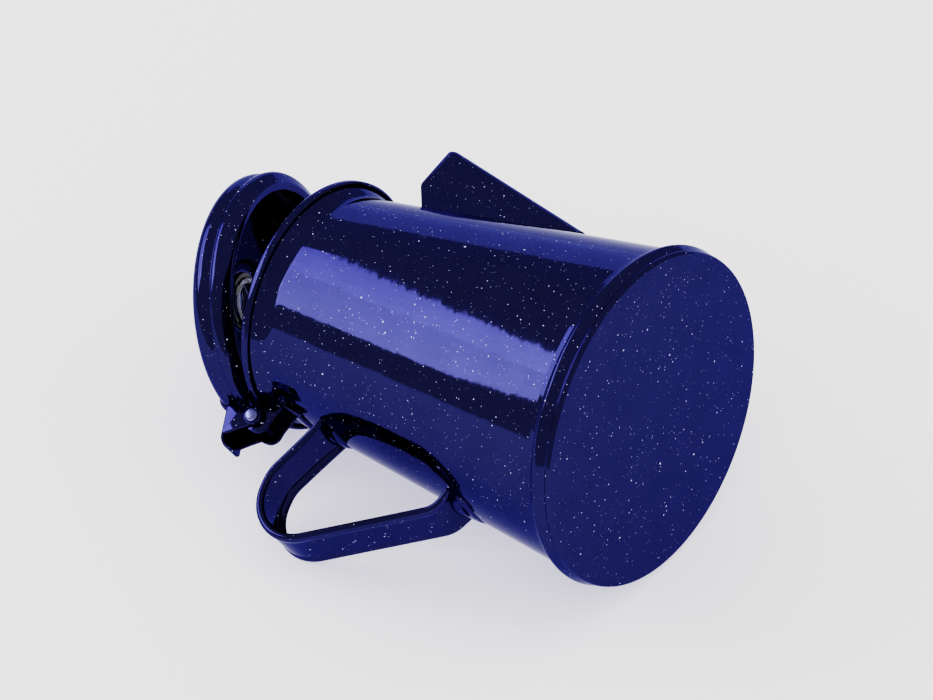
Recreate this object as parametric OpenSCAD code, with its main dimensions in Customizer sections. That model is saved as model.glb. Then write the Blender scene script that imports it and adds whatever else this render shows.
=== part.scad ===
// Enamelled steel camping percolator, standing upright on its base.
// +Z is the pot's axis, the spout points along +X, the handle and the lid hinge are at -X.
// The origin is the centre of the face that the base rests on. Millimetres.

/* [Pot] */
// Outer radius of the rolled seam around the base
base_r = 70; // [69:0.5:71]
// Radius of the seam's round section
seam_r = 3; // [2.6:0.1:3.2]
// Radius of the wall where it leaves the seam
foot_r = 67.3; // [67:0.1:67.5]
// Radius of the wall where the mouth begins to flare
neck_r = 48.1; // [47.8:0.1:48.4]
// Height where the mouth begins to flare
neck_z = 159; // [158:0.5:160]
// Height of the mouth's rolled edge
mouth_z = 169.5; // [169:0.1:170]
// Radius of the mouth's rolled edge
mouth_r = 53.2; // [52.9:0.1:53.4]
// Thickness of the enamelled sheet
sheet = 0.9; // [0.8:0.05:1]

/* [Spout] */
// Height of the spout's lip
lip_z = 149.4; // [148:0.2:150]
// Reach of the spout's lip from the pot's axis
lip_x = 81.3; // [79:0.1:82]
// Height where the spout's keel runs into the wall
keel_z = 73; // [71:0.5:76]
// Half width of the spout where it meets the wall at the top
spout_half = 21; // [18:0.5:22]
// Radius of the pouring holes in the wall behind the spout
pour_hole_r = 2.5; // [2:0.1:2.8]

/* [Handle] */
// Width of the strap across its two rolled edges
strap_w = 23; // [21:0.5:24]
// Thickness of the strap between its rolled edges
strap_t = 1.2; // [1:0.1:1.6]
// Thickness of each rolled edge
edge_t = 3.4; // [3:0.1:3.8]
// Width of each rolled edge
edge_w = 2; // [1.6:0.1:2.4]

/* [Hinge] */
// Distance of the hinge pin from the pot's axis
pin_x = 57; // [56.8:0.1:57.4]
// Height of the hinge pin
pin_z = 167; // [166.6:0.1:167.4]
// Radius of the hinge pin
pin_r = 1.5; // [1.3:0.05:1.6]
// Half width between the bracket's two ears
ear_y = 5.3; // [5:0.1:5.6]
// Thickness of an ear
ear_t = 1.3; // [1.2:0.1:1.6]
// Angle that the lid stands open
ajar = 19.5; // [0:0.5:40]

/* [Lid] */
// Height of the lid's flange above the mouth's edge when it is shut
lid_gap = 0.3; // [0.3:0.05:0.5]
// Radius of the flange's folded edge, at the middle of the sheet
flange_r = 52.5; // [52.2:0.1:52.7]
// Height of the side wall above the flange
lid_wall_h = 12; // [11:0.5:12.5]
// Depth of the skirt that goes into the mouth
skirt_h = 1.8; // [1.4:0.1:2.2]
// Radius of the skirt's lower edge
skirt_r = 46.2; // [46:0.1:46.6]
// Height of the crown's middle above the flange
crown_h = 17.4; // [17:0.2:18]

/* [Knob] */
// Height of the clear knob's top above the flange
knob_top = 38; // [37:0.5:40]
// Largest radius of the clear knob
knob_r = 13; // [12.5:0.1:14]

/* [Pump and basket] */
// Outer radius of the pump tube
tube_r = 4.7; // [4.4:0.1:4.8]
// Height of the pump tube's top
tube_top = 179; // [176:0.5:180]
// Radius of the pump's bell foot
bell_r = 31; // [28:0.5:34]
// Outer radius of the coffee basket
basket_r = 40.5; // [39:0.5:41]
// Height of the basket's floor
basket_z = 112; // [111:0.5:113]
// Height of the basket's wall
basket_h = 45; // [42:0.5:46]

/* [Hidden] */
round_fn = 96;
small_fn = 32;
fit = 0.06;
slack = 0.3;
taper = (foot_r - neck_r) / (neck_z - 2 * seam_r);
lid_z = mouth_z + lid_gap;
cheek_y = ear_y + ear_t + 0.4;
cheek_t = 1.2;
washer_t = 1.2;
pin_head_r = 2.6;
pin_half = cheek_y + cheek_t + washer_t;
spout_rim_z = 137.5;

// Outer radius of the pot's wall at height z
function wall_r(z) = foot_r - taper * (z - 2 * seam_r);

// Point where a circle of radius r touches the way from b towards a
function touch(b, a, r, half) = b + (a - b) / norm(a - b) * r / tan(half);

// Arc of radius r that rounds the corner b between a and c
function corner(a, b, c, r, n = 8) =
    let (u = (a - b) / norm(a - b), v = (c - b) / norm(c - b),
         half = acos(u * v) / 2,
         mid = b + (u + v) / norm(u + v) * r / sin(half),
         p = touch(b, a, r, half) - mid, q = touch(b, c, r, half) - mid,
         s = atan2(p.y, p.x), turn = atan2(q.y, q.x) - s,
         sweep = turn > 180 ? turn - 360 : turn < -180 ? turn + 360 : turn)
    [for (i = [0:n]) mid + r * [cos(s + sweep * i / n), sin(s + sweep * i / n)]];

// Path through stops [x, y, radius], with each inner corner rounded
function rounded(stops) = [
    for (i = [0:len(stops) - 1])
        let (p = [stops[i].x, stops[i].y])
        each (i == 0 || i == len(stops) - 1) ? [p] :
            corner([stops[i - 1].x, stops[i - 1].y], p, [stops[i + 1].x, stops[i + 1].y], stops[i].z)];

// Unit normal of a path at its point i
function normal(path, i) =
    let (a = path[max(i - 1, 0)], b = path[min(i + 1, len(path) - 1)], d = (b - a) / norm(b - a))
    [-d.y, d.x];

// Closed outline of a sheet of thickness t whose middle follows a path
function sheet_outline(path, t) = concat(
    [for (i = [0:len(path) - 1]) path[i] + normal(path, i) * t / 2],
    [for (i = [len(path) - 1:-1:0]) path[i] - normal(path, i) * t / 2]);

// Turned shell of thickness t whose section's middle follows a path
module turned_sheet(path, t) {
    rotate_extrude($fn = round_fn) polygon(sheet_outline(path, t));
}

// Flat plate in the XZ plane, w wide along Y, centred on the plane
module side_plate(outline, w) {
    rotate([90, 0, 0]) linear_extrude(w, center = true) polygon(outline);
}

// Solid bounded by the outside of the pot's wall and its flared mouth
module pot_envelope() {
    rotate_extrude($fn = round_fn) polygon(concat([[0, -20], [wall_r(-20), -20]], mouth_outline(), [[0, mouth_z]]));
}

// Outside of the wall, from the neck to the top of the mouth's rolled edge
function mouth_outline() = [
    [neck_r, neck_z],
    [neck_r + 0.7, neck_z + 1],
    [neck_r + 1.9, neck_z + 3.4],
    [neck_r + 3.4, neck_z + 6],
    [mouth_r - 0.35, mouth_z - 2.2],
    [mouth_r, mouth_z - 1.3],
    [mouth_r - 0.38, mouth_z - 0.38],
    [mouth_r - 1.3, mouth_z]];

// Everything on the lid's body, turned open about the hinge pin
module on_lid() {
    translate([-pin_x, 0, pin_z]) rotate([0, -ajar, 0]) translate([pin_x, 0, -pin_z]) children();
}

// Middle of the lid's sheet, from the skirt's edge to the hole for the knob
lid_path = [for (p = rounded([
    [skirt_r, -skirt_h, 0],
    [skirt_r + 2.1, -skirt_h - 0.1, 1],
    [flange_r - 1.9, 0.5, 1.2],
    [flange_r + 0.4, 0.6, 0.7],
    [flange_r + 0.4, 2.1, 0.7],
    [flange_r - 1.3, 2.2, 0.9],
    [flange_r + 0.5, lid_wall_h, 6.5],
    [32, crown_h - 1.8, 60],
    [17.2, crown_h - 0.4, 1.5],
    [16.4, crown_h + 2, 1],
    [12.4, crown_h + 2, 0]])) [p.x, p.y + lid_z]];

module pot_body() {
    outline = concat(
        [[wall_r(seam_r) - sheet, seam_r], [wall_r(seam_r), seam_r]],
        mouth_outline(),
        [[mouth_r - 2.2, mouth_z - 0.4], [mouth_r - 2.6, mouth_z - 1.3]],
        [[neck_r + 2.5, neck_z + 6.1], [neck_r + 1, neck_z + 3.6], [neck_r - sheet + 0.5, neck_z + 1.2],
         [neck_r - sheet, neck_z]]);
    color("mediumblue")
        difference() {
            rotate_extrude($fn = round_fn) polygon(outline);
            pouring_holes();
        }
}

// Rows of holes that let the coffee out and hold back the grounds
module pouring_holes() {
    row_step = 9;
    for (row = [0:4])
        for (side = (row % 2 == 0) ? [-1, 0, 1] : [-0.5, 0.5])
            translate([30, 0, 96 + row * row_step])
                rotate([0, 0, side * 10])
                    rotate([0, 90, 0]) cylinder(h = 40, r = pour_hole_r, $fn = small_fn);
}

// Section of the bottom pan: a flat disc, a small round edge and a wide bead on the wall's foot
pan_outline = rounded([
    [0, 0, 0],
    [base_r - 1.8, 0, 1.1],
    [base_r - 1.2, 1.9, 0.6],
    [base_r - 1.6, 2.7, 0.5],
    [base_r + 0.15, 7.9, 1.7],
    [base_r - 2.6, 9.7, 1.2],
    [wall_r(12) + 0.3, 12.3, 0.2],
    [wall_r(12.6) - sheet / 2, 12.6, 0.1],
    [wall_r(4) - sheet / 2, 4, 0.1],
    [wall_r(seam_r) - sheet - 0.8, 3.6, 0.4],
    [wall_r(seam_r) - 3, sheet, 1],
    [0, sheet, 0]]);

module bottom_pan() {
    top = 14;
    color("mediumblue")
        difference() {
            rotate_extrude($fn = round_fn) polygon(pan_outline);
            rotate_extrude($fn = round_fn)
                polygon([[wall_r(seam_r) - sheet, seam_r], [wall_r(seam_r), seam_r],
                         [wall_r(top), top], [wall_r(top) - sheet, top]]);
        }
}

// Folded beak: keel from the lip down to the heel, rim stepping down behind the lip on each side;
// inset makes the channel inside it, lift opens its top
module spout_wedge(inset, lift) {
    nose_r = 3.6;
    rim_r = 2.2;
    hull() {
        translate([lip_x - nose_r - inset, 0, lip_z - nose_r + lift]) sphere(nose_r - inset * 0.6, $fn = 32);
        translate([wall_r(keel_z) + 1.6 - inset, 0, keel_z + inset * 3]) sphere(4.4 - inset, $fn = 24);
        for (side = [-1, 1]) {
            translate([58.5, side * (spout_half - 10 - inset * 1.2), lip_z - 6.6 + lift])
                sphere(rim_r - inset * 0.6, $fn = 24);
            translate([wall_r(spout_rim_z) - 5.4, side * (spout_half - 2 - inset * 1.2), spout_rim_z + lift])
                sphere(rim_r - inset * 0.6, $fn = 24);
        }
        translate([30, 0, spout_rim_z - 6 + lift]) cube([4, 20, 10], center = true);
        translate([30, 0, keel_z + 6]) cube([4, 4, 10], center = true);
    }
}

module spout() {
    color("mediumblue")
        difference() {
            spout_wedge(0, 0);
            spout_wedge(1, 8);
            pot_envelope();
        }
}

// Middle of the handle's strap, from its upper foot out around the hand and back
handle_path = rounded([
    [-40, 129, 0],
    [-77, 144.2, 16],
    [-112.4, 140.9, 18.5],
    [-67.6, 65.7, 11],
    [-40, 55, 0]]);

module handle() {
    color("mediumblue")
        difference() {
            union() {
                side_plate(sheet_outline(handle_path, strap_t), strap_w - edge_w);
                for (side = [-1, 1])
                    translate([0, side * (strap_w - edge_w) / 2, 0])
                        side_plate(sheet_outline(handle_path, edge_t), edge_w);
                handle_foot(131, 16, 26);
                handle_foot(58, 18, 30);
            }
            pot_envelope();
        }
}

// Flared foot of the strap, lying on the wall with its middle at height z
module handle_foot(z, h, w) {
    foot_t = 1.3;
    lower = z - h / 2;
    upper = z + h / 2;
    intersection() {
        rotate_extrude($fn = round_fn)
            polygon([[0, lower], [wall_r(lower) + foot_t, lower], [wall_r(upper) + foot_t, upper], [0, upper]]);
        translate([-60, 0, z]) rotate([0, 90, 0]) union() {
            cube([h - 8, w, 60], center = true);
            cube([h, w - 8, 60], center = true);
            for (a = [-1, 1])
                for (b = [-1, 1])
                    translate([a * (h / 2 - 4), b * (w / 2 - 4), 0])
                        cylinder(h = 60, r = 4, center = true, $fn = small_fn);
        }
    }
}

// Side view of one ear: a rounded lobe around the pin that runs back under the mouth
ear_outline = concat(
    [[-47, 157.5], [-55.5, 159.4]],
    corner([-55.5, 159.4], [-62.8, 159.6], [-63.6, 170.2], 4.6),
    corner([-62.8, 159.6], [-63.2, 170.6], [-52, 170], 4.6),
    [[-54.4, 169.2], [-53.4, 167.2], [-50, 166]]);

module hinge_bracket() {
    plate_t = 1.2;
    color("mediumblue")
        difference() {
            union() {
                for (side = [-1, 1])
                    translate([0, side * (ear_y + ear_t / 2), 0]) side_plate(ear_outline, ear_t);
                intersection() {
                    rotate_extrude($fn = round_fn)
                        polygon([[0, 147], [wall_r(147) + plate_t, 147], [neck_r + plate_t, neck_z],
                                 [neck_r + 3.2, neck_z + 3.4], [0, neck_z + 3.4]]);
                    translate([-60, 0, 155]) cube([40, 2 * (ear_y + ear_t), 20], center = true);
                }
            }
            pot_envelope();
            translate([-pin_x, 0, pin_z]) rotate([90, 0, 0])
                cylinder(h = 60, r = pin_r + fit, center = true, $fn = small_fn);
        }
}

module hinge_pin() {
    head_t = 1.5;
    color("mediumblue")
        translate([-pin_x, 0, pin_z]) rotate([90, 0, 0]) union() {
            cylinder(h = 2 * pin_half, r = pin_r, center = true, $fn = small_fn);
            for (side = [-1, 1])
                translate([0, 0, side * (pin_half + head_t / 2)])
                    cylinder(h = head_t, r = pin_head_r, center = true, $fn = small_fn);
        }
}

module pin_washers() {
    washer_r = 3.9;
    color("mediumblue")
        for (side = [-1, 1])
            translate([-pin_x, side * (pin_half - washer_t / 2), pin_z]) rotate([90, 0, 0])
                difference() {
                    cylinder(h = washer_t, r = washer_r, center = true, $fn = small_fn);
                    cylinder(h = washer_t + 1, r = pin_r + fit, center = true, $fn = small_fn);
                }
}

module lid_shell() {
    color("mediumblue") on_lid() turned_sheet(lid_path, sheet);
}

// Outer surface of the lid, between its skirt's edge and the hole for the knob
lid_outside = [for (i = [0:len(lid_path) - 1]) lid_path[i] - normal(lid_path, i) * sheet / 2];

// Sheet that lies on the lid's wall and crown, over the hinge
module leaf_saddle() {
    leaf_t = 1.2;
    band = [for (i = [0:len(lid_path) - 1]) if (lid_path[i].x > 38 && lid_path[i].y > lid_z + 3) i];
    intersection() {
        rotate_extrude($fn = round_fn)
            polygon(concat(
                [for (i = band) lid_outside[i]],
                [for (k = [len(band) - 1:-1:0]) lid_outside[band[k]] - normal(lid_path, band[k]) * leaf_t]));
        translate([-60, 0, lid_z]) cube([60, 2 * cheek_y, 60], center = true);
    }
}

// Side view of the thumb plate: level, with its tip turned down a little
plate_top = 180.6;
plate_outline = [[-46, plate_top], [-66.4, plate_top], [-69.4, plate_top - 1], [-69, plate_top - 2.1],
                 [-66, plate_top - 1.2], [-46, plate_top - 1.2]];

// Side view of one cheek, from the thumb plate down to its round end on the pin
cheek_end_r = 3.9;
cheek_outline = concat(
    [[-48, plate_top], [-66.4, plate_top], [-68.6, plate_top - 1.3], [-64.9, 177.3], [-63, 174.5], [-61.2, 169]],
    [for (a = [175:15:345]) [cheek_end_r * cos(a) - pin_x, cheek_end_r * sin(a) + pin_z]],
    [[-54, 170.7], [-52.6, 172.6], [-48, 172.6]]);

// Plan of the leaf: straight sides and a tip with rounded corners
module leaf_plan() {
    half = cheek_y + cheek_t;
    tip_r = 2.5;
    linear_extrude(250) hull() {
        for (side = [-1, 1])
            translate([-69.3 + tip_r, side * (half - 0.6 - tip_r)]) circle(tip_r, $fn = small_fn);
        translate([-62, 0]) square([2, 2 * half], center = true);
        translate([-44, 0]) square([2, 2 * half], center = true);
    }
}

module lid_hinge_leaf() {
    color("mediumblue") on_lid()
        difference() {
            union() {
                leaf_saddle();
                intersection() {
                    leaf_plan();
                    union() {
                        side_plate(plate_outline, 2 * (cheek_y + cheek_t));
                        for (side = [-1, 1])
                            translate([0, side * (cheek_y + cheek_t / 2), 0])
                                side_plate(cheek_outline, cheek_t);
                    }
                }
            }
            rotate_extrude($fn = round_fn)
                polygon(concat(lid_outside, [[0, lid_z + crown_h], [0, lid_z - skirt_h]]));
            translate([-pin_x, 0, pin_z]) rotate([90, 0, 0])
                cylinder(h = 60, r = pin_r + fit, center = true, $fn = small_fn);
        }
}

// Steel ring rolled into the lid's hole; two gaps in its lower lip let the knob's lugs pass
module knob_socket() {
    lip_r = 10.2;
    color("silver") on_lid() translate([0, 0, lid_z + crown_h])
        difference() {
            union() {
                difference() {
                    cylinder(h = 3.2, r = 11.9, $fn = round_fn);
                    translate([0, 0, -1]) cylinder(h = 6, r = 11.2, $fn = round_fn);
                }
                difference() {
                    translate([0, 0, 2.5]) cylinder(h = 0.7, r = 15.2, $fn = round_fn);
                    translate([0, 0, 2]) cylinder(h = 2, r = 11.2, $fn = round_fn);
                }
                difference() {
                    cylinder(h = 0.7, r = 11.9, $fn = round_fn);
                    translate([0, 0, -1]) cylinder(h = 3, r = lip_r, $fn = round_fn);
                }
            }
            cube([30, 5.4, 2], center = true);
        }
}

module knob() {
    base_z = crown_h + 4.1;
    waist_r = 9.8;
    wall = 2.2;
    color([0.75, 0.85, 0.95, 0.5]) on_lid() translate([0, 0, lid_z])
        difference() {
            union() {
                rotate_extrude($fn = round_fn)
                    polygon(concat(
                        [[0, crown_h - 0.9], [waist_r, crown_h - 0.9], [waist_r, base_z], [13.4, base_z],
                         [13.4, base_z + 1.6], [11, base_z + 2.6]],
                        [for (a = [-24:8:90])
                            [knob_r * cos(a), knob_top - 9.5 + 9.5 * sin(a)]]));
                translate([0, 0, crown_h - 0.9]) intersection() {
                    cylinder(h = 0.6, r = 10.9, $fn = round_fn);
                    cube([4.6, 30, 3], center = true);
                }
            }
            translate([0, 0, crown_h - 2]) cylinder(h = knob_top - crown_h - 8, r = waist_r - wall, $fn = round_fn);
            translate([0, 0, knob_top - 10]) sphere(waist_r - wall, $fn = small_fn);
        }
}

module knob_gasket() {
    color("dimgray") on_lid() translate([0, 0, lid_z + crown_h + 3.5])
        difference() {
            cylinder(h = 0.6, r = 13, $fn = round_fn);
            translate([0, 0, -1]) cylinder(h = 3, r = 9.8, $fn = round_fn);
        }
}

module stem_tube() {
    tube_bottom = 20;
    color("lightgray")
        translate([0, 0, tube_bottom]) difference() {
            cylinder(h = tube_top - tube_bottom, r = tube_r, $fn = small_fn);
            translate([0, 0, -1]) cylinder(h = tube_top, r = tube_r - 0.8, $fn = small_fn);
        }
}

module stem_collar() {
    collar_h = 3;
    color("lightgray")
        translate([0, 0, basket_z - 2 - collar_h]) difference() {
            cylinder(h = collar_h, r = tube_r + 3, $fn = small_fn);
            translate([0, 0, -1]) cylinder(h = collar_h + 2, r = tube_r, $fn = small_fn);
        }
}

// Bell that stands on the pot's bottom, with a chamber for the valve and a neck for the tube
module pump_foot() {
    bell_path = rounded([[bell_r, 1.4, 0], [bell_r - 3, 7.5, 4], [10.6, 14, 2], [10.6, 22.6, 1.5], [5.2, 22.6, 0]]);
    notch_r = 3.2;
    color("lightgray")
        difference() {
            union() {
                turned_sheet(bell_path, 0.8);
                translate([0, 0, 22.2]) cylinder(h = 6, r = tube_r + 0.8, $fn = small_fn);
            }
            translate([0, 0, 20]) cylinder(h = 12, r = tube_r, $fn = small_fn);
            for (turn = [45:90:315])
                rotate([0, 0, turn]) translate([bell_r, 0, 1.2]) rotate([0, 90, 0])
                    cylinder(h = 12, r = notch_r, center = true, $fn = small_fn);
        }
}

module valve_seat() {
    color("lightgray")
        translate([0, 0, 14.6]) difference() {
            cylinder(h = 0.8, r = 10.2, $fn = round_fn);
            translate([0, 0, -1]) cylinder(h = 3, r = 4, $fn = small_fn);
        }
}

module valve_disc() {
    color("gray") translate([0, 0, 14.6 + 0.8 + slack]) cylinder(h = 0.8, r = 7, $fn = round_fn);
}

module basket_shell() {
    rim = 1.5;
    wall_path = rounded([
        [6.2, basket_z, 0], [basket_r - 0.4, basket_z, 5],
        [basket_r, basket_z + basket_h, 1], [basket_r + rim, basket_z + basket_h, 0]]);
    color("gainsboro")
        difference() {
            turned_sheet(wall_path, 0.8);
            for (ring = [1:3])
                for (i = [0:8 * ring - 1])
                    rotate([0, 0, 360 * i / (8 * ring)]) translate([ring * 9 + 3, 0, basket_z])
                        cylinder(h = 4, r = 1.3, center = true, $fn = small_fn);
        }
}

module basket_sleeve() {
    color("gainsboro")
        translate([0, 0, basket_z - 2 + slack]) difference() {
            union() {
                cylinder(h = basket_h - 4, r = tube_r + 1.1, $fn = small_fn);
                cylinder(h = 1.3, r = tube_r + 3, $fn = small_fn);
            }
            translate([0, 0, -1]) cylinder(h = basket_h, r = tube_r + slack, $fn = small_fn);
        }
}

module spreader_plate() {
    lid_path_z = basket_z + basket_h + 0.8;
    plate_path = rounded([
        [tube_r + 3, lid_path_z + 2.4, 0], [tube_r + 5, lid_path_z + 2.4, 1], [tube_r + 7, lid_path_z, 1.5],
        [basket_r - 4, lid_path_z, 2], [basket_r + 0.4, lid_path_z + 1.8, 0]]);
    color("gainsboro")
        difference() {
            turned_sheet(plate_path, 0.8);
            for (ring = [1:2])
                for (i = [0:10 * ring - 1])
                    rotate([0, 0, 360 * i / (10 * ring)]) translate([ring * 9 + 7, 0, lid_path_z])
                        cylinder(h = 4, r = 1.3, center = true, $fn = small_fn);
        }
}

pot_body();
bottom_pan();
spout();
handle();
hinge_bracket();
hinge_pin();
pin_washers();
lid_shell();
lid_hinge_leaf();
knob_socket();
knob();
knob_gasket();
stem_tube();
stem_collar();
pump_foot();
valve_seat();
valve_disc();
basket_shell();
basket_sleeve();
spreader_plate();
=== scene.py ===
import bmesh
import bpy
import numpy as np
from mathutils import Matrix, Vector


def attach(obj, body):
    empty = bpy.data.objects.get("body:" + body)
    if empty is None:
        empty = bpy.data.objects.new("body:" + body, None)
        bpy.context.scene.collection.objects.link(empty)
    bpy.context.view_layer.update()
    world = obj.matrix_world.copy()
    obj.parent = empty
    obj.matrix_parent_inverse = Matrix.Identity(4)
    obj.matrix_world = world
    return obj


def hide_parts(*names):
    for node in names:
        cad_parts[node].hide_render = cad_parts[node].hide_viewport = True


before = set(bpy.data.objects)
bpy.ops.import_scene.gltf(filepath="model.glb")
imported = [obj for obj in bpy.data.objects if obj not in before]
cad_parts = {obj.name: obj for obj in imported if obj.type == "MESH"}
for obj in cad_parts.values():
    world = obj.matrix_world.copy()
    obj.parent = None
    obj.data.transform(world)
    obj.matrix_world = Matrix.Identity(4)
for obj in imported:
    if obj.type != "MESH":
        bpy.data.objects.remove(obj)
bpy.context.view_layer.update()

# ---------------------------------------------------------------------------------------------
# Pot wall. One deep-drawn steel sheet, slightly conical, flared at the mouth and rolled
# outwards round its edge. Thirteen small holes strain the coffee behind the spout.
# The whole sheet is dipped in cobalt-blue glass enamel with white flecks.
# ---------------------------------------------------------------------------------------------
MM = 0.001
FOOT_R, SEAM_R = 67.3, 3.0
NECK_R, NECK_Z = 48.1, 159.0
TAPER = (FOOT_R - NECK_R) / (NECK_Z - 2 * SEAM_R)
SHEET = 0.9


class Wire:
    """An output socket of a shader node. Arithmetic on wires and numbers adds Math nodes."""

    def __init__(self, tree, socket=None):
        self.tree, self.socket = tree, socket

    def node(self, kind, settings=None, sockets=None, out=0):
        """Adds a node of this kind: settings first, then the values or wires of its sockets."""
        made = self.tree.nodes.new("ShaderNode" + kind)
        for key, value in (settings or {}).items():
            setattr(made, key, value)
        for key, value in (sockets or {}).items():
            if isinstance(value, Wire):
                self.tree.links.new(value.socket, made.inputs[key])
            else:
                made.inputs[key].default_value = value
        return Wire(self.tree, made.outputs[out]) if made.outputs else made

    def math(self, operation, first, second):
        return self.node("Math", {"operation": operation}, {0: first, 1: second})

    def __add__(self, other):
        return self.math("ADD", self, other)

    def __sub__(self, other):
        return self.math("SUBTRACT", self, other)

    def __rsub__(self, other):
        return self.math("SUBTRACT", other, self)

    def __mul__(self, other):
        return self.math("MULTIPLY", self, other)

    def __lt__(self, other):
        return self.math("LESS_THAN", self, other)

    __radd__, __rmul__ = __add__, __mul__

    def blend(self, low, high):
        """Colour that goes from low to high as this wire goes from 0 to 1."""
        return self.node("Mix", {"data_type": "RGBA"}, {0: self, 6: low, 7: high}, out=2)

    def part(self, axis):
        """One of the three parts of a vector."""
        return self.node("SeparateXYZ", None, {0: self}, out="XYZ".index(axis))

    def smooth(self, low, high):
        """Soft step from 0 at low to 1 at high."""
        return self.node("MapRange", {"interpolation_type": "SMOOTHSTEP"},
                         {"Value": self, "From Min": low, "From Max": high})


def new_finish(name):
    """An empty material and a wire on its tree."""
    made = bpy.data.materials.new(name)
    made.use_nodes = True
    made.node_tree.nodes.clear()
    return made, Wire(made.node_tree)


def close_finish(wire, shader):
    """Joins the shader to the material's output."""
    wire.node("OutputMaterial", None, {"Surface": shader})


def flecks(wire, spot, spacing, share, small, large):
    """Mask of white flecks: balls of random radius round scattered points, cut by the surface."""
    cell = {"Vector": spot, "Scale": 1 / (spacing * MM)}
    away = wire.node("TexVoronoi", {"feature": "F1"}, cell, out="Distance") * spacing
    chance = wire.node("TexVoronoi", {"feature": "F1"}, cell, out="Color")
    parts = [wire.node("SeparateColor", None, {"Color": chance}, out=i) for i in range(2)]
    radius = parts[0] * parts[0] * (large - small) + small
    return (radius - away).smooth(0.0, 0.12) * (parts[1] < share)


def make_enamel(name="cobalt_enamel", low=(0.023, 0.027, 0.100, 1), high=(0.026, 0.030, 0.112, 1),
                rough=0.045, painted_shade_map=None):
    """Glassy cobalt enamel: a mirror that takes up all but the blue, with white flecks in it.
    Where the UV map named by painted_shade_map is 1 it is darkened nearly to black as painted shade."""
    made, wire = new_finish(name)
    spot = wire.node("TexCoord", None, None, out="Object")
    drift = wire.node("TexNoise", None, {"Vector": spot, "Scale": 900.0, "Detail": 1.0}, out="Color")
    wander = wire.node("VectorMath", {"operation": "SCALE"}, {0: drift, "Scale": 0.0007})
    ragged = wire.node("VectorMath", {"operation": "ADD"}, {0: spot, 1: wander})
    mask = (flecks(wire, ragged, 3.4, 0.60, 0.14, 0.46)
            + flecks(wire, ragged, 1.8, 0.85, 0.10, 0.30)
            + flecks(wire, ragged, 1.1, 0.70, 0.07, 0.20) * 0.8)
    mask = wire.node("Clamp", None, {"Value": mask})
    cloud = wire.node("TexNoise", None, {"Vector": spot, "Scale": 60.0, "Detail": 3.0})
    blue = cloud.smooth(0.3, 0.7).blend(low, high)
    if painted_shade_map:
        # Painted shade: where this UV map is 1 (the lid's inner face) the blue is blended to near
        # black.
        blue = wire.node("UVMap", {"uv_map": painted_shade_map}).part("X").blend(blue, (0.003, 0.003, 0.010, 1))
    ripple = wire.node("TexNoise", None, {"Vector": spot, "Scale": 95.0, "Detail": 2.0})
    grain = wire.node("TexNoise", None, {"Vector": spot, "Scale": 420.0, "Detail": 2.0})
    relief = ripple * 0.55 + grain * 0.05 + mask * 0.05
    bump = wire.node("Bump", None, {"Strength": 0.35, "Distance": 0.0004, "Height": relief})
    close_finish(wire, wire.node("BsdfPrincipled", None, {
        "Base Color": mask.blend(blue, (0.46, 0.48, 0.84, 1)),
        "Metallic": 1 - mask,
        "Roughness": grain.smooth(0.2, 0.8) * 0.03 + mask * 0.15 + rough,
        "Specular Tint": (0.51, 0.53, 0.78, 1),
        "Normal": bump}))
    return made


enamel = make_enamel()


def wall_r(z):
    """Outer radius of the wall at height z: it narrows evenly from the foot to the neck."""
    return FOOT_R - TAPER * (z - 2 * SEAM_R)


def rounded(stops, steps=10):
    """Path through stops (x, y, radius). Each inner corner becomes the arc of its radius that
    touches both sides: its middle lies on the corner's bisector, radius / sin(half angle) away."""
    stops = np.array(stops, float)
    before, corner, after = stops[:-2, :2], stops[1:-1, :2], stops[2:, :2]
    radius = stops[1:-1, 2]
    u = (before - corner) / np.linalg.norm(before - corner, axis=1, keepdims=True)
    v = (after - corner) / np.linalg.norm(after - corner, axis=1, keepdims=True)
    half = np.arccos(np.clip((u * v).sum(1), -1, 1)) / 2
    bisector = (u + v) / np.linalg.norm(u + v, axis=1, keepdims=True)
    middle = corner + bisector * (radius / np.sin(half))[:, None]
    reach = (radius / np.tan(half))[:, None]
    p, q = corner + u * reach - middle, corner + v * reach - middle
    start = np.arctan2(p[:, 1], p[:, 0])
    sweep = (np.arctan2(q[:, 1], q[:, 0]) - start + np.pi) % (2 * np.pi) - np.pi
    angle = start[:, None] + sweep[:, None] * np.linspace(0, 1, steps + 1)
    arcs = middle[:, None] + radius[:, None, None] * np.stack([np.cos(angle), np.sin(angle)], -1)
    return np.concatenate([stops[:1, :2], arcs.reshape(-1, 2), stops[-1:, :2]])


def evenly(path, step):
    """The same path with points at equal distances of about step."""
    run = np.concatenate([[0], np.cumsum(np.linalg.norm(np.diff(path, axis=0), axis=1))])
    at = np.linspace(0, run[-1], max(2, int(round(run[-1] / step)) + 1))
    return np.stack([np.interp(at, run, path[:, i]) for i in range(path.shape[1])], 1)


def turned(path, around=288):
    """Grid of a path of radii and heights turned about Z: (r cos a, r sin a, z)."""
    angle = np.linspace(0, 2 * np.pi, around, endpoint=False)[:, None]
    r, z = path[:, 0], path[:, 1]
    return np.stack([r * np.cos(angle), r * np.sin(angle), z + 0 * angle], -1)


def skin(name, grid, finish, close_rows=True, close_columns=False, keep=None, turn_out=True):
    """Mesh over a grid of points (rows, columns, 3) in millimetres: each quad joins four
    neighbours, a closed direction joins its last row to its first, and keep drops quads."""
    rows, columns = grid.shape[:2]
    row = np.arange(rows if close_rows else rows - 1)[:, None]
    column = np.arange(columns if close_columns else columns - 1)[None, :]
    next_row, next_column = (row + 1) % rows, (column + 1) % columns
    quads = np.stack([row * columns + column, next_row * columns + column,
                      next_row * columns + next_column, row * columns + next_column], -1)
    quads = quads.reshape(-1, 4) if keep is None else quads[keep]
    mesh = bpy.data.meshes.new(name)
    mesh.from_pydata(grid.reshape(-1, 3) * MM, [], quads)
    return finished(name, mesh, finish, turn_out)


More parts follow.
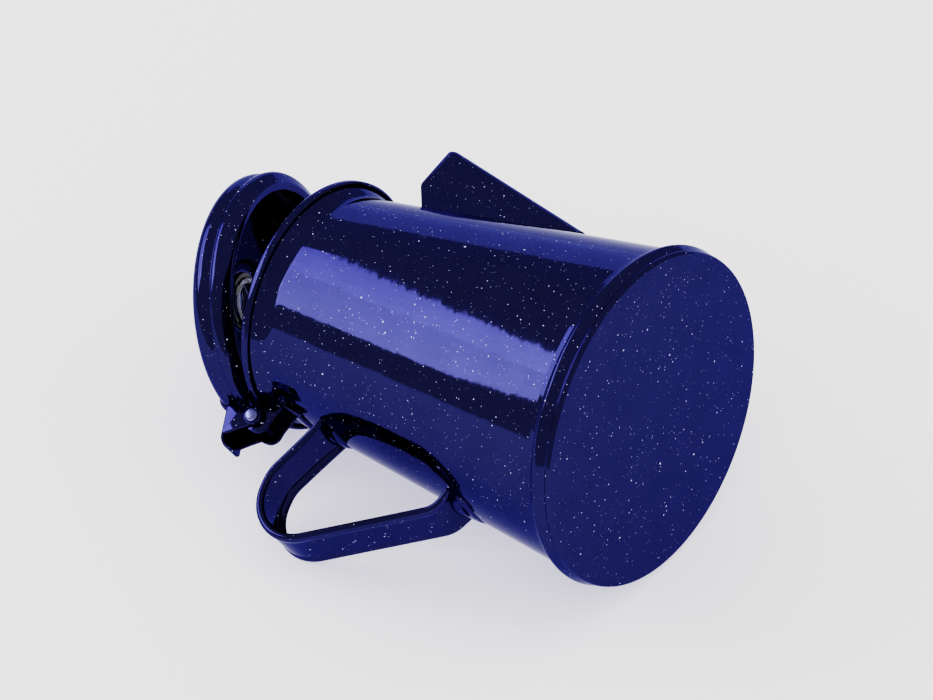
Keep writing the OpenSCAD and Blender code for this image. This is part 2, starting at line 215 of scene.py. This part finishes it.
def finished(name, mesh, finish, turn_out=True):
    """Object of a mesh whose doubles are merged, faces turned out and shading smooth."""
    work = bmesh.new()
    work.from_mesh(mesh)
    bmesh.ops.remove_doubles(work, verts=work.verts, dist=1e-6)
    bmesh.ops.delete(work, geom=[v for v in work.verts if not v.link_faces], context="VERTS")
    if turn_out:
        bmesh.ops.recalc_face_normals(work, faces=work.faces)
    work.to_mesh(mesh)
    work.free()
    mesh.shade_smooth()
    mesh.materials.append(finish)
    made = bpy.data.objects.new(name, mesh)
    bpy.context.scene.collection.objects.link(made)
    return made


def thicken(piece, thickness):
    """Gives a sheet its thickness, half to each side."""
    wall = piece.modifiers.new("sheet", "SOLIDIFY")
    wall.thickness, wall.offset, wall.use_even_offset = thickness * MM, 0, True


# The sheet's middle: up the wall, out at the neck, up the mouth, over and back under its edge
wall_path = rounded([
    (wall_r(3.2) - SHEET / 2, 3.2, 0),
    (NECK_R - SHEET / 2, NECK_Z, 7),
    (50.9, 165.9, 4),
    (51.3, 168.95, 1.1),
    (52.7, 168.95, 0.9),
    (52.85, 165.9, 0.7),
    (52.0, 165.7, 0)])
at_neck = np.argmax(wall_path[:, 1] > NECK_Z - 4)
WALL_STEP, MOUTH_STEP, AROUND = 1.4, 0.5, 320
wall_path = np.concatenate([evenly(wall_path[:at_neck + 1], WALL_STEP)[:-1],
                            evenly(wall_path[at_neck:], MOUTH_STEP)])
wall_grid = turned(wall_path, AROUND)

# Straining holes: grid corners inside a hole's edge are moved out to it, and the hole is cut
HOLE_R, LOWEST_HOLE_Z, HOLE_ROW_STEP, HOLE_TURN_STEP = 2.5, 96, 9, 10
hole_rows = [(LOWEST_HOLE_Z + HOLE_ROW_STEP * row,
              HOLE_TURN_STEP * (np.array([-1, 0, 1]) if row % 2 == 0 else np.array([-0.5, 0.5])))
             for row in range(5)]
hole_spots = np.array([(np.radians(a), z) for z, turns in hole_rows for a in turns])
turn_of = (np.linspace(0, 2 * np.pi, AROUND, endpoint=False) + np.pi) % (2 * np.pi) - np.pi
across = (turn_of[:, None, None] - hole_spots[:, 0]) * wall_path[None, :, 0, None]
up = wall_path[None, :, 1, None] - hole_spots[:, 1]
offset = np.hypot(across, up)
cut = (offset < HOLE_R - 0.25).any(2)
nearest = offset.argmin(2)
near = np.take_along_axis(offset, nearest[..., None], 2)[..., 0]
quad_cut = cut | np.roll(cut, -1, 0)
quad_cut = quad_cut[:, :-1] | quad_cut[:, 1:]
on_edge = quad_cut | np.roll(quad_cut, 1, 0)
on_edge = np.pad(on_edge, ((0, 0), (0, 1))) | np.pad(on_edge, ((0, 0), (1, 0)))
pick = on_edge & ~cut
push = np.where(pick, HOLE_R / np.maximum(near, 0.1), 1.0)
across_near = np.take_along_axis(across, nearest[..., None], 2)[..., 0] * push
up_near = np.take_along_axis(np.broadcast_to(up, offset.shape), nearest[..., None], 2)[..., 0]
up_near = up_near * push
moved_z = hole_spots[nearest, 1] + up_near
moved_turn = hole_spots[nearest, 0] + across_near / wall_path[None, :, 0]
moved_r = wall_r(moved_z) - SHEET / 2
moved = np.stack([moved_r * np.cos(moved_turn), moved_r * np.sin(moved_turn), moved_z], -1)
wall_grid = np.where(pick[..., None], moved, wall_grid)
pot_wall = skin("pot_wall", wall_grid, enamel, keep=~quad_cut)
thicken(pot_wall, SHEET)
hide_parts("pot_body")
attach(pot_wall, "pot")

# ---------------------------------------------------------------------------------------------
# Bottom pan. A flat disc pressed from sheet. Its edge turns up in a thin round bead, then flares
# into a fat one that grips the wall's foot and dies away on the wall in a hollow curve.
# ---------------------------------------------------------------------------------------------
BASE_R = 70.0
pan_section = rounded([
    (0, 0, 0),
    (BASE_R - 1.8, 0, 1.1),
    (BASE_R - 1.2, 1.9, 0.6),
    (BASE_R - 1.6, 2.7, 0.5),
    (BASE_R + 0.35, 7.9, 2.5),
    (BASE_R - 2.6, 9.7, 1.2),
    (wall_r(12) + 0.3, 12.3, 0.2),
    (wall_r(12.6) - SHEET / 2, 12.6, 0.1),
    (wall_r(4) - SHEET / 2, 4, 0.1),
    (wall_r(3) - SHEET - 0.8, 3.6, 0.4),
    (wall_r(3) - 3, SHEET, 1),
    (0, SHEET, 0)], 8)
bottom = skin("bottom_pan_pressing", turned(pan_section, 360), enamel,
              close_columns=False)
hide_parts("bottom_pan")
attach(bottom, "pot")

# ---------------------------------------------------------------------------------------------
# Spout. A sheet folded along its keel into a pointed beak and welded to the wall over the
# straining holes. It is open on top; the nose of the lip is rounded for pouring.
# ---------------------------------------------------------------------------------------------
LIP_X, LIP_Z, KEEL_Z = 81.3, 149.4, 73.0
NOSE_R, HEEL_R, SPOUT_SHEET = 3.6, 4.4, 1.0
RIM_Z, CORNER = 133.8, 0.63


def spout_grid(rows=70, cap_rows=10, nose_columns=17, side_columns=30):
    """The beak's middle surface. Down the keel (t from 0 at the lip to 1 at the heel) a nose arc
    of growing radius moves from the lip to the heel; on each side a flat panel runs from the
    arc's end back to the wall, and its end slides down to the heel at the same time. The rim
    falls gently to a corner and then steeply to the wall, and the nose draws in at the lip like
    the top of a ball. Past the heel the arc shrinks along a ball."""
    t = np.linspace(0, 1, rows)[:, None] ** 1.4
    lip = np.array([LIP_X - NOSE_R, 0, LIP_Z - 0.5])
    heel = np.array([wall_r(KEEL_Z) + 1.6, 0, KEEL_Z])
    rim = np.array([wall_r(RIM_Z) - 5.6, 20.4, RIM_Z])
    middle = lip + (heel - lip) * t
    draw = np.maximum(0, 1 - t * np.linalg.norm(heel - lip) / NOSE_R)
    nose = (NOSE_R + (HEEL_R - NOSE_R) * t - SPOUT_SHEET / 2) * np.sqrt(1 - 0.55 * draw ** 2)
    side = rim * (1 - t) + (heel + [0, HEEL_R * 0.9, 0]) * t
    run = side - middle
    panel = np.arctan2(run[:, 1], run[:, 0])[:, None]
    gap = np.hypot(run[:, 0], run[:, 1])[:, None]
    edge = panel - np.arccos(np.clip(nose / np.maximum(gap, nose + 0.01), -1, 1))
    sweep = np.linspace(-1, 1, nose_columns) * edge
    arc = middle[:, None] + nose[..., None] * np.stack([np.cos(sweep), np.sin(sweep), 0 * sweep], -1)
    share = np.linspace(1, 0, side_columns, endpoint=False)[None, :, None]
    tent = np.minimum(share / CORNER, (1 - share) / (1 - CORNER))
    rise = np.minimum(1, tent * 1.06) * 5.4 * (1 - t)[:, None] * [0, 0, 1]
    right = arc[:, -1:] * (1 - share) + side[:, None] * share + rise
    left = right * [1, -1, 1]
    grid = np.concatenate([left, arc, right[:, ::-1]], 1)
    sink = np.linspace(0, np.pi / 2, cap_rows + 1)[1:, None, None]
    ball = heel + (grid[-1] - heel) * np.cos(sink) - [0, 0, HEEL_R - 0.5] * np.sin(sink)
    return np.concatenate([grid, ball])


spout = skin("spout_beak", spout_grid(), enamel, close_rows=False)
thicken(spout, SPOUT_SHEET)
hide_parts("spout")
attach(spout, "pot")

# ---------------------------------------------------------------------------------------------
# Handle. A steel strap rolled over a bead along both edges, bent into a rounded triangle and
# spread at its ends into feet that are welded flat on the wall.
# ---------------------------------------------------------------------------------------------
STRAP_W, STRAP_EDGE_R = 23.0, 1.8
strap_path = evenly(rounded([
    (-40, 129, 0),
    (-77, 144.2, 16),
    (-112.4, 140.9, 18.5),
    (-67.6, 65.7, 11),
    (-40, 55, 0)], 24), 1.0)


def across_strap(count=44):
    """Outline of the strap's section, as (height, width): two beads joined by a thin web that
    is nearly flush outside and deeply set inside. Width goes as the sine of the angle."""
    y = STRAP_W / 2 * np.sin(np.linspace(-np.pi / 2, np.pi / 2, count))
    flat = STRAP_W / 2 - STRAP_EDGE_R
    bead = np.sqrt(np.maximum(STRAP_EDGE_R ** 2 - np.maximum(np.abs(y) - flat, 0) ** 2, 0))
    fall = np.clip((np.abs(y) - (flat - 2.6)) / 2.6, 0, 1)
    fall = fall * fall * (3 - 2 * fall)
    inner = np.where(np.abs(y) > flat, bead, -0.55 + (STRAP_EDGE_R + 0.55) * fall)
    outer = np.where(np.abs(y) > flat, bead, 1.25 + (STRAP_EDGE_R - 1.25) * fall)
    return np.concatenate([np.stack([inner, y], 1), np.stack([-outer, y], 1)[-2:0:-1]])


def strap_grid():
    """The section carried along the strap's path, widened towards the feet, and bent there to
    the wall: a point's x moves by the wall's own sagitta at that width."""
    path = strap_path[strap_path[:, 0] < -(wall_r(strap_path[:, 1]) - 0.7)]
    way = np.gradient(path, axis=0)
    way /= np.linalg.norm(way, axis=1, keepdims=True)
    normal = np.stack([-way[:, 1], way[:, 0]], 1)
    clear = -path[:, 0] - wall_r(path[:, 1])
    near = np.exp(-np.maximum(clear, 0) / 4.0)[:, None]
    section = across_strap()
    y = section[None, :, 1] * (1 + 0.16 * near)
    height = section[None, :, 0] * (1 - 0.35 * near)
    x = path[:, :1] + normal[:, :1] * height
    z = path[:, 1:] + normal[:, 1:] * height
    reach = wall_r(path[:, 1:])
    x = x + (reach - np.sqrt(reach ** 2 - y ** 2)) * near
    return np.stack([x, y, z], -1)


strap = skin("handle_strap", strap_grid(), enamel, close_rows=False, close_columns=True)
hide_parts("handle")
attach(strap, "pot")


def foot_grid(z, height, width, ridge_z, around=96, rings=26):
    """A cushion on the wall: in plan a rounded rectangle (a circle pushed towards a square), its
    lift falls to the wall at the rim and rises in a ridge where the strap comes out of it."""
    angle = np.linspace(0, 2 * np.pi, around, endpoint=False)[:, None]
    rho = np.concatenate([np.linspace(0, 1, rings), np.linspace(1, 0, 6)])[None, :]
    under = np.arange(rho.shape[1])[None, :] >= rings
    power = 3.4
    square = (np.abs(np.cos(angle)) ** power + np.abs(np.sin(angle)) ** power) ** (-1 / power)
    y = width / 2 * rho * square * np.cos(angle)
    up = z + height / 2 * rho * square * np.sin(angle)
    ridge = 1.8 * np.exp(-((up - ridge_z) / 3.4) ** 2) * np.clip(1 - (2 * y / width) ** 2, 0, 1) ** 2
    lift = np.where(under, -0.5, (0.95 + ridge) * (1 - rho ** 5) - 0.35 * rho ** 5)
    r = wall_r(up) + lift
    return np.stack([-np.sqrt(r ** 2 - y ** 2), y, up], -1)


for foot_name, foot_z, foot_h, foot_w, ridge_z in (
        ("handle_upper_foot", 132, 11, 24, 133.6), ("handle_lower_foot", 59, 14, 26, 62.2)):
    foot = skin(foot_name, foot_grid(foot_z, foot_h, foot_w, ridge_z), enamel)
    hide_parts("handle")
    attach(foot, "pot")

# ---------------------------------------------------------------------------------------------
# Hinge bracket. A folded plate welded under the mouth's edge, with two rounded ears that
# carry the hinge pin between the cheeks of the lid's leaf.
# ---------------------------------------------------------------------------------------------
PIN_X, PIN_Z, PIN_R = -57.0, 167.0, 1.5
EAR_Y, EAR_T = 5.3, 1.3


def plate(name, outline, inner_y, outer_y, edge, finish):
    """Flat plate between two widths along Y. The outline (x, z) is drawn in by edge at both
    faces along a quarter circle, so the rim is rounded; flat many-sided faces close it."""
    way = np.roll(outline, -1, 0) - np.roll(outline, 1, 0)
    way /= np.linalg.norm(way, axis=1, keepdims=True)
    after = np.roll(outline, -1, 0)
    area = (outline[:, 0] * after[:, 1] - after[:, 0] * outline[:, 1]).sum()
    inward = np.stack([-way[:, 1], way[:, 0]], 1) * np.sign(area)
    turn = np.linspace(0, np.pi / 2, 5)
    y = np.concatenate([inner_y + edge * (1 - np.cos(turn)),
                        outer_y - edge * (1 - np.cos(turn[::-1]))])
    draw = np.concatenate([edge * (1 - np.sin(turn)), edge * (1 - np.sin(turn[::-1]))])
    flat = outline[None] + inward[None] * draw[:, None, None]
    grid = np.stack([flat[..., 0], np.broadcast_to(y[:, None], flat.shape[:2]), flat[..., 1]], -1)
    rows, columns = grid.shape[:2]
    row, column = np.arange(rows - 1)[:, None], np.arange(columns)[None, :]
    quads = np.stack([row * columns + column, (row + 1) * columns + column,
                      (row + 1) * columns + (column + 1) % columns,
                      row * columns + (column + 1) % columns], -1).reshape(-1, 4)
    ends = [list(range(columns)), list(range((rows - 1) * columns, rows * columns))]
    mesh = bpy.data.meshes.new(name)
    mesh.from_pydata(grid.reshape(-1, 3) * MM, [], quads.tolist() + ends)
    made = finished(name, mesh, finish)
    made.data.set_sharp_from_angle(angle=np.radians(50))
    return made


ear_path = rounded([
    (-47.4, 157.2, 0), (-55.5, 159.2, 3), (-62.8, 159.6, 4.6), (-63.2, 170.6, 4.6),
    (-54.3, 170.1, 1.0), (-53.5, 167.3, 1.5), (-49.8, 166.0, 1.5), (-48.8, 160.8, 1),
    (-47.8, 158.6, 0)], 12)
ears = [plate("hinge_ear_" + side_name, evenly(ear_path, 0.5), low, low + EAR_T, 0.45, enamel)
        for side_name, low in (("left", EAR_Y), ("right", -EAR_Y - EAR_T))]


def bracket_web_grid(rows=40, columns=36):
    """The web between the ears: a closed cushion 1.2 thick that follows the wall and its neck,
    with a rounded rim. The first parameter goes round its closed section, the second across."""
    y = np.linspace(-EAR_Y - EAR_T, EAR_Y + EAR_T, columns)[None, :]
    up = np.linspace(147.0, 161.0, rows)[:, None]
    neck = np.interp(up, [147, 159, 160.5, 162.4], [wall_r(147), NECK_R, NECK_R + 0.9, NECK_R + 2.1])
    edge = (np.minimum(1, EAR_Y + EAR_T - np.abs(y) + 0.05)
            * np.minimum(1, (up - 147.0) / 1.2 + 0.05))
    outer = neck + 1.25 * np.sqrt(edge)
    inner = neck - 0.3 + 0 * y
    r = np.concatenate([outer, inner[::-1]])
    z = np.concatenate([up + 0 * y, (up + 0 * y)[::-1]])
    return np.stack([-np.sqrt(r ** 2 - y ** 2), y + 0 * r, z], -1)


web = skin("hinge_bracket_web", bracket_web_grid(), enamel, close_rows=True)
for piece in ears + [web]:
    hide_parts("hinge_bracket")
    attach(piece, "pot")

# ---------------------------------------------------------------------------------------------
# Hinge pin and its washers. A steel pin through both ears and the leaf's cheeks, its ends
# peened to domes over a washer on each side. They turn with the lid and are enamelled too.
# ---------------------------------------------------------------------------------------------


def turned_on_pin(path, around=48):
    """A path of radii and widths turned about the hinge's axis, which runs along Y."""
    angle = np.linspace(0, 2 * np.pi, around, endpoint=False)[:, None]
    r, y = path[:, 0], path[:, 1]
    return np.stack([PIN_X + r * np.cos(angle), y + 0 * angle, PIN_Z + r * np.sin(angle)], -1)


pin_half = rounded([(0, 10.95, 0), (2.7, 10.75, 1.5), (3.3, 9.5, 0.25),
                    (PIN_R, 9.42, 0.1), (PIN_R, 0, 0)], 8)
# A lighter, rougher copy of the blue enamel for the pin: a painted highlight on its domed heads.
peened = make_enamel("pin_enamel_painted_highlight", (0.12, 0.14, 0.40, 1), (0.32, 0.35, 0.68, 1), 0.24)
pin_path = np.concatenate([pin_half, (pin_half * [1, -1])[::-1]])
pin = skin("hinge_pin_peened", turned_on_pin(pin_path), peened)
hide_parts("hinge_pin")
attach(pin, "lid")

WASHER_BORE_R = PIN_R + 0.06
washer_path = rounded([(WASHER_BORE_R, 8.24, 0), (4.2, 8.24, 0.15), (4.3, 8.8, 0.35), (3.8, 9.36, 0.35),
                       (2.4, 9.38, 0.2), (WASHER_BORE_R, 9.2, 0.1), (WASHER_BORE_R, 8.24, 0)], 5)
for side_name, side in (("left", 1), ("right", -1)):
    washer = skin("pin_washer_" + side_name, turned_on_pin(washer_path * [1, side]), enamel)
    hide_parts("pin_washers")
    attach(washer, "lid")

# ---------------------------------------------------------------------------------------------
# Lid. One pressed shell: a shallow rim that nests in the mouth, a folded edge, a groove, a
# short wall and a low crown with a raised ring for the knob. It hangs open on its hinge.
# ---------------------------------------------------------------------------------------------
AJAR = np.radians(19.5)
LID_Z = 169.8


def on_lid(points):
    """Points of the shut lid turned open about the hinge's axis."""
    x, z = points[..., 0] - PIN_X, points[..., 2] - PIN_Z
    return np.stack([PIN_X + x * np.cos(AJAR) - z * np.sin(AJAR), points[..., 1],
                     PIN_Z + x * np.sin(AJAR) + z * np.cos(AJAR)], -1)


def sheet_section(path, thickness, end_steps=6):
    """Closed outline of a sheet whose middle follows a path, with half-round edges."""
    way = np.gradient(path, axis=0)
    way /= np.linalg.norm(way, axis=1, keepdims=True)
    normal = np.stack([-way[:, 1], way[:, 0]], 1) * thickness / 2
    turn = np.linspace(0, np.pi, end_steps + 2)[1:-1, None]
    far = path[-1] + normal[-1] * np.cos(turn) + way[-1] * np.sin(turn) * thickness / 2
    near = path[0] - normal[0] * np.cos(turn) - way[0] * np.sin(turn) * thickness / 2
    return np.concatenate([path + normal, far, (path - normal)[::-1], near])


lid_path = evenly(rounded([
    (46.2, -1.8, 0),
    (48.4, -1.9, 1.2),
    (53.2, 1.4, 2.3),
    (52.9, 4.4, 0.8),
    (51.4, 4.5, 0.9),
    (54.7, 14.2, 6.0),
    (32.0, 16.4, 60),
    (17.2, 17.0, 1.5),
    (16.4, 19.4, 1.0),
    (12.4, 19.4, 0)], 14), 0.55) + [0, LID_Z]
lid_grid = on_lid(turned(sheet_section(lid_path, SHEET), 280))
# The lid's enamel is painted nearly black on its inner face: painted shade.
lid = skin("lid_pressing", lid_grid, make_enamel("lid_enamel_painted_shade", painted_shade_map="inside"), close_columns=True)
# A UV map that is 1 on the lid's inner face and 0 elsewhere, where the enamel gets its painted shade
corner_column = np.zeros(len(lid.data.loops), int)
lid.data.loops.foreach_get("vertex_index", corner_column)
corner_column %= lid_grid.shape[1]
inside = (corner_column < len(lid_path) - 2) & (corner_column > 14)
inside_map = lid.data.uv_layers.new(name="inside")
inside_map.data.foreach_set("uv", np.stack([inside, inside], 1).astype(float).ravel())
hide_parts("lid_shell")
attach(lid, "lid")

# ---------------------------------------------------------------------------------------------
# Hinge leaf. A sheet welded on the lid's wall, folded level into a thumb plate with a round
# nosed tip. Its two sides are folded down into cheeks that hold the ends of the hinge pin.
# ---------------------------------------------------------------------------------------------
LEAF_Y, CHEEK_T, TIP_R, TIP_X = 8.2, 1.2, 4.5, -69.6


def saddle_grid(columns=30):
    """The part on the lid: a cushion 1.2 thick over a band of the lid's section, closed round
    its section, with its lift falling to the sheet at both sides."""
    band = lid_path[(lid_path[:, 0] > 38) & (lid_path[:, 1] > LID_Z + 3)]
    way = np.gradient(band, axis=0)
    way /= np.linalg.norm(way, axis=1, keepdims=True)
    normal = np.stack([way[:, 1], -way[:, 0]], 1)
    y = np.linspace(-6.8, 6.8, columns)
    share = np.minimum(1, (6.8 - np.abs(y)) / 0.9 + 0.02)
    ends = np.minimum(1, np.minimum(np.arange(len(band)), np.arange(len(band))[::-1]) / 2.5 + 0.02)
    lift = SHEET / 2 + 1.2 * np.sqrt(ends[:, None] * share)
    outer = band[:, None] + normal[:, None] * lift[..., None]
    inner = np.broadcast_to((band + normal * 0.2)[:, None], outer.shape)
    both = np.concatenate([outer, inner[::-1]])
    r, z = both[..., 0], both[..., 1]
    return np.stack([-np.sqrt(r ** 2 - y ** 2), y + 0 * r, z], -1)


saddle = skin("hinge_leaf_saddle", on_lid(saddle_grid()), enamel, close_rows=True)
thumb_path = rounded([
    (-52.2, 180.6, 0), (-66.4, 180.6, 3), (-69.5, 179.6, 0.5), (-69.1, 178.5, 0.5), (-66, 179.4, 3),
    (-52.1, 179.4, 0)], 8)
CHEEK_END_R = 3.9
round_end = np.radians(np.linspace(178, 340, 24))
cheek_path = np.concatenate([
    rounded([(-52.3, 180.5, 0), (-63.9, 180.5, 1.2), (-65.0, 179.5, 0.6), (-64.1, 177.3, 3),
             (-63, 174.5, 5),
             (-60.9, 168.2, 0)], 8),
    np.stack([PIN_X + CHEEK_END_R * np.cos(round_end), PIN_Z + CHEEK_END_R * np.sin(round_end)], 1),
    [[-52.9, 169.2], [-53.3, 171.2], [-52.4, 172.6], [-50.8, 172.8]]])


def on_leaf(piece):
    """Turns a flat part of the leaf open with the lid, after its width is drawn in at the tip
    along a corner arc."""
    points = np.zeros(len(piece.data.vertices) * 3)
    piece.data.vertices.foreach_get("co", points)
    points = points.reshape(-1, 3) / MM
    past = np.clip(TIP_R + TIP_X - points[:, 0], 0, TIP_R)
    points[:, 1] *= 1 - (TIP_R - np.sqrt(TIP_R ** 2 - past ** 2)) / LEAF_Y
    piece.data.vertices.foreach_set("co", (on_lid(points) * MM).ravel())
    return piece


leaf_parts = [on_leaf(plate("thumb_plate", evenly(thumb_path, 0.4), -LEAF_Y, LEAF_Y, 0.5, enamel))]
for side_name, low in (("left", LEAF_Y - CHEEK_T), ("right", -LEAF_Y)):
    leaf_parts.append(on_leaf(plate("leaf_cheek_" + side_name, evenly(cheek_path, 0.4), low,
                                    low + CHEEK_T, 0.45, enamel)))
for piece in [saddle] + leaf_parts:
    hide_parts("lid_hinge_leaf")
    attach(piece, "lid")

# ---------------------------------------------------------------------------------------------
# Knob and its fittings. A smoky blue glass percolator knob turned into a steel ring in the lid's
# hole, sealed by a dark gasket.
# ---------------------------------------------------------------------------------------------


def make_glass():
    """Smoky blue moulded glass with a faint wave in its surface."""
    made, wire = new_finish("moulded_glass")
    spot = wire.node("TexCoord", None, None, out="Object")
    wave = wire.node("TexNoise", None, {"Vector": spot, "Scale": 150.0, "Detail": 2.0})
    close_finish(wire, wire.node("BsdfPrincipled", None, {
        "Base Color": wave.smooth(0.3, 0.7).blend((0.07, 0.08, 0.18, 1), (0.10, 0.12, 0.24, 1)),
        "Roughness": wave * 0.02 + 0.01,
        "IOR": 1.5,
        "Transmission Weight": 1.0,
        "Normal": wire.node("Bump", None, {"Strength": 0.2, "Distance": 0.0003, "Height": wave})}))
    return made


def make_metal(name, dark, light, roughness):
    """Drawn or spun metal: fine turning lines round the pot's axis over a cloudy tone."""
    made, wire = new_finish(name)
    spot = wire.node("TexCoord", None, None, out="Object")
    squeezed = wire.node("Mapping", None, {"Vector": spot, "Scale": (60.0, 60.0, 2600.0)})
    lines = wire.node("TexNoise", None, {"Vector": squeezed, "Scale": 1.0, "Detail": 3.0})
    cloud = wire.node("TexNoise", None, {"Vector": spot, "Scale": 45.0, "Detail": 4.0})
    close_finish(wire, wire.node("BsdfPrincipled", None, {
        "Base Color": cloud.smooth(0.25, 0.75).blend(dark, light),
        "Metallic": 1.0,
        "Roughness": lines * 0.16 + cloud * 0.08 + roughness,
        "Normal": wire.node("Bump", None, {"Strength": 0.25, "Distance": 0.0001, "Height": lines})}))
    return made


def make_gasket():
    """Dark moulded rubber with a fine matt grain."""
    made, wire = new_finish("gasket_rubber")
    spot = wire.node("TexCoord", None, None, out="Object")
    grain = wire.node("TexNoise", None, {"Vector": spot, "Scale": 2600.0, "Detail": 3.0})
    close_finish(wire, wire.node("BsdfPrincipled", None, {
        "Base Color": grain.smooth(0.3, 0.7).blend((0.020, 0.020, 0.022, 1), (0.042, 0.042, 0.045, 1)),
        "Roughness": grain * 0.2 + 0.5,
        "Normal": wire.node("Bump", None, {"Strength": 0.3, "Distance": 0.0001, "Height": grain})}))
    return made


def dress(finish, slot_name, *names):
    """Gives these CAD nodes a finish."""
    for node_name in names:
        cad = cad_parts[node_name]
        cad.data.materials.clear()
        cad.data.materials.append(finish)


dress(make_glass(), "clear_glass", "knob")
dress(make_gasket(), "gasket", "knob_gasket")
darkened_steel = make_metal("darkened_steel", (0.09, 0.09, 0.10, 1), (0.15, 0.15, 0.16, 1), 0.28)
dress(darkened_steel, "steel", "knob_socket")

# ---------------------------------------------------------------------------------------------
# Pump and basket. An aluminium bell stands on the bottom with a loose valve disc in its
# chamber; its tube carries the coffee basket and the perforated spreader plate.
# ---------------------------------------------------------------------------------------------
aluminium = make_metal("spun_aluminium", (0.60, 0.61, 0.63, 1), (0.76, 0.77, 0.78, 1), 0.24)
dress(aluminium, "aluminium", "stem_tube", "stem_collar", "pump_foot", "valve_seat", "valve_disc",
      "basket_shell", "basket_sleeve", "spreader_plate")

# ---------------------------------------------------------------------------------------------
# Table, light and camera. The pot lies on its side on a pale sweep. A long soft box stands on
# its left, a pale card behind it and a weak fill on its right; the rest of the studio is dim.
# ---------------------------------------------------------------------------------------------
FLOOR_UP = Vector((0.4671, -0.8784, -0.1012)).normalized()
FLOOR_AT = -69.94 * MM
CAMERA_AT = Vector((-0.39984, -1.39001, -0.86672))
CAMERA_RIGHT = Vector((0.46436, 0.40932, -0.78538))
CAMERA_AHEAD = Vector((0.23114, 0.80004, 0.55363))
PALE = 1.35
DIM = 0.46
AMBIENT = (1.56, 1.58, 1.28)


def facing(place, right, ahead):
    """Matrix that puts a thing at a place, its own X to the right and its -Z ahead."""
    ahead = ahead.normalized()
    right = (right - ahead * right.dot(ahead)).normalized()
    turn = Matrix((right, (-ahead).cross(right), -ahead)).transposed()
    return Matrix.Translation(place) @ turn.to_4x4()


away = (CAMERA_AHEAD - FLOOR_UP * CAMERA_AHEAD.dot(FLOOR_UP)).normalized()
rightward = away.cross(FLOOR_UP)
pot_middle = Vector((0, 0, 0.085))
spot_below = pot_middle - FLOOR_UP * (pot_middle.dot(FLOOR_UP) - FLOOR_AT)


def make_table_finish():
    """Pale matt sweep that is seen from above only and glows faintly, as one lit from below."""
    made, wire = new_finish("pale_sweep")
    spot = wire.node("TexCoord", None, None, out="Object")
    cloud = wire.node("TexNoise", None, {"Vector": spot, "Scale": 6.0, "Detail": 2.0})
    paper = wire.node("BsdfPrincipled", None, {
        "Base Color": cloud.blend((0.468, 0.468, 0.468, 1), (0.472, 0.472, 0.472, 1)),
        "Emission Color": (0.50, 0.49, 0.66, 1), "Emission Strength": 1.0,
        "Roughness": 0.9, "Specular IOR Level": 0.0})
    clear = wire.node("BsdfTransparent")
    behind = wire.node("NewGeometry", None, None, out="Backfacing")
    mirrored = wire.node("LightPath", None, None, out="Is Glossy Ray")
    close_finish(wire, wire.node("MixShader", None, {0: behind + mirrored * 0.35, 1: paper, 2: clear}))
    return made


side, depth = np.meshgrid(np.linspace(-1.6, 1.6, 5), np.linspace(-1.2, 1.6, 5))
table_points = (np.array(spot_below) + side[..., None] * np.array(rightward)
                + depth[..., None] * np.array(away))
table = skin("table", table_points / MM, make_table_finish(), close_rows=False, turn_out=False)
if table.data.polygons[0].normal.dot(FLOOR_UP) < 0:
    table.data.flip_normals()


def soft_box(name, azimuth, elevation, distance, width, height, radiance, slide=(0, 0)):
    """Rectangular area light that looks at the pot from a direction over the table, slid across
    and up in its own plane. Its power is its radiance times its area times pi."""
    a, e = np.radians(azimuth), np.radians(elevation)
    toward = (away * np.cos(a) + rightward * np.sin(a)) * np.cos(e) + FLOOR_UP * np.sin(e)
    right = FLOOR_UP.cross(toward).normalized()
    lamp = bpy.data.lights.new(name, "AREA")
    lamp.shape, lamp.size, lamp.size_y = "RECTANGLE", width, height
    lamp.energy = width * height * np.pi
    lamp.color = radiance
    made = bpy.data.objects.new(name, lamp)
    spot = pot_middle + toward * distance + right * slide[0] + toward.cross(right) * slide[1]
    made.matrix_world = facing(spot, right, -toward)
    made.visible_transmission = False
    bpy.context.scene.collection.objects.link(made)
    return made


BOX_AZIMUTH, BOX_ELEVATION, BOX_AWAY = -69, 26, 1.25
STRIPS, BOX_WIDTH = 10, 0.98
LEFT_TONE, RIGHT_TONE = np.array([2.1, 2.0, 2.7]), np.array([4.7, 4.4, 4.0])
for strip in range(STRIPS):
    share = (strip + 0.5) / STRIPS
    tone = LEFT_TONE + (RIGHT_TONE - LEFT_TONE) * share
    across = (share - 0.5) * BOX_WIDTH
    soft_box("softbox_strip_%d" % strip, BOX_AZIMUTH, BOX_ELEVATION, BOX_AWAY,
             BOX_WIDTH / STRIPS, 0.37, tone, (across, -0.08))
    soft_box("softbox_upper_%d" % strip, BOX_AZIMUTH, BOX_ELEVATION, BOX_AWAY,
             BOX_WIDTH / STRIPS, 0.16, tone * 1.25, (across, 0.185))
soft_box("pale_card", 0, 9, 1.25, 0.75, 0.50, (0.8, 0.8, 0.8))
fill = soft_box("fill_right", 100, 42, 1.9, 1.2, 0.9, (1.3, 1.27, 1.1))
fill.visible_glossy = False

world = bpy.data.worlds.new("studio")
bpy.context.scene.world = world
world.use_nodes = True
world.node_tree.nodes.clear()
air = Wire(world.node_tree)
diffuse = air.node("LightPath", None, None, out="Is Diffuse Ray")
seen = air.node("LightPath", None, None, out="Is Camera Ray")
tone = seen.blend(diffuse.blend((DIM, DIM, DIM, 1), (*AMBIENT, 1)), (PALE, PALE, PALE, 1))
air.node("OutputWorld", None, {"Surface": air.node("Background", None, {"Color": tone})})

lens = bpy.data.cameras.new("studio_camera")
lens.sensor_width, lens.lens = 36.0, 4300 / 933 * 36
lens.clip_start, lens.clip_end = 0.05, 20.0
camera = bpy.data.objects.new("studio_camera", lens)
camera.matrix_world = facing(CAMERA_AT, CAMERA_RIGHT, CAMERA_AHEAD)
bpy.context.scene.collection.objects.link(camera)
bpy.context.scene.camera = camera
bpy.context.scene.view_settings.view_transform = "Filmic"
bpy.context.scene.view_settings.look = "High Contrast"
